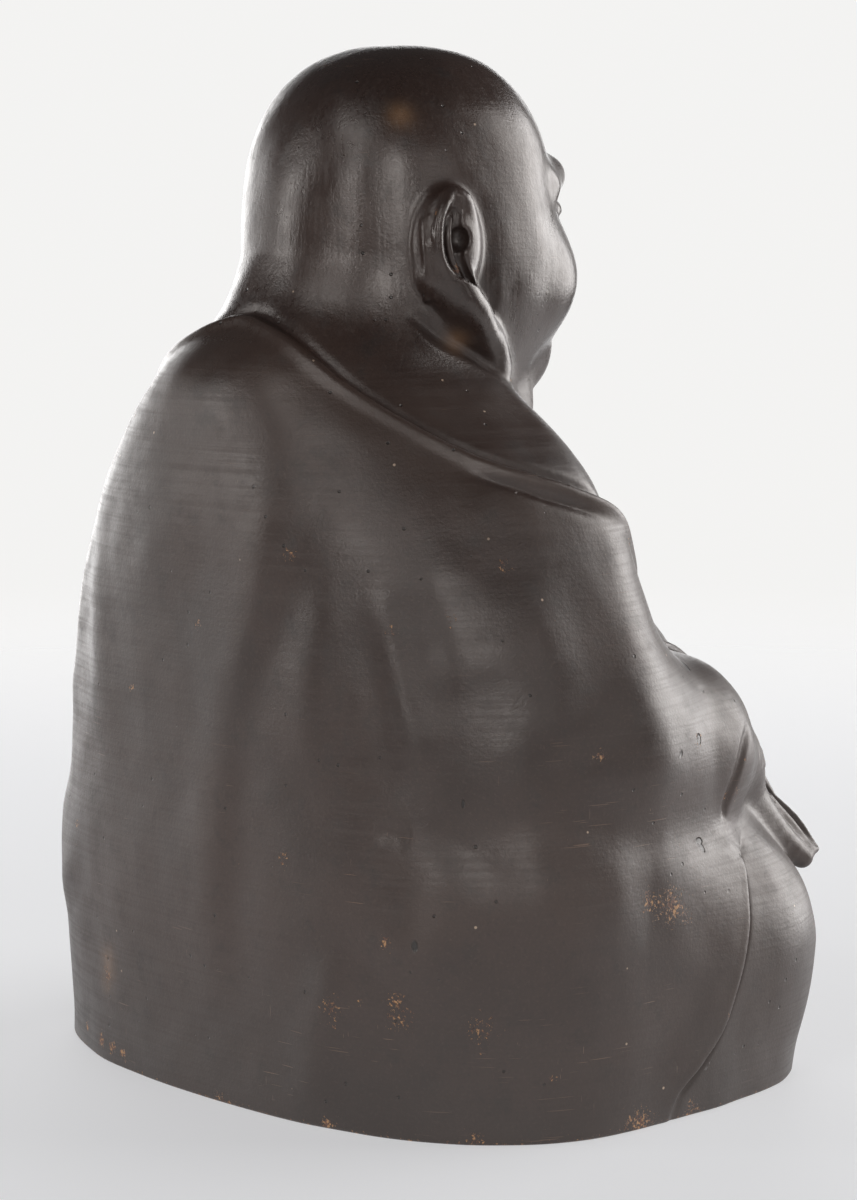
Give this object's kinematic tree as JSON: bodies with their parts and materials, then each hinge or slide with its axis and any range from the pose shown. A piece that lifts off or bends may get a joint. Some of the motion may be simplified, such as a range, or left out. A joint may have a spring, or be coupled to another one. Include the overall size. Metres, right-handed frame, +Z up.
{
  "type": "budai figure",
  "caption": "Seated, bald, big-bellied monk figure in a loose robe, cast in dark bronze, standing on its flat underside as an ornament.",
  "frame": {"origin": "middle of the flat underside, on the floor", "axes": "+X to the figure's left, +Y to its back, +Z up; it faces -Y"},
  "size_m": [0.303, 0.2386, 0.3999],
  "materials": {
    "patinated_bronze": "cast bronze with a dark brown satin patina, fine brush lines, pits and small chips down to bare metal"
  },
  "bodies": {
    "root": {"seated_figure": "patinated_bronze"}
  },
  "joints": []
}
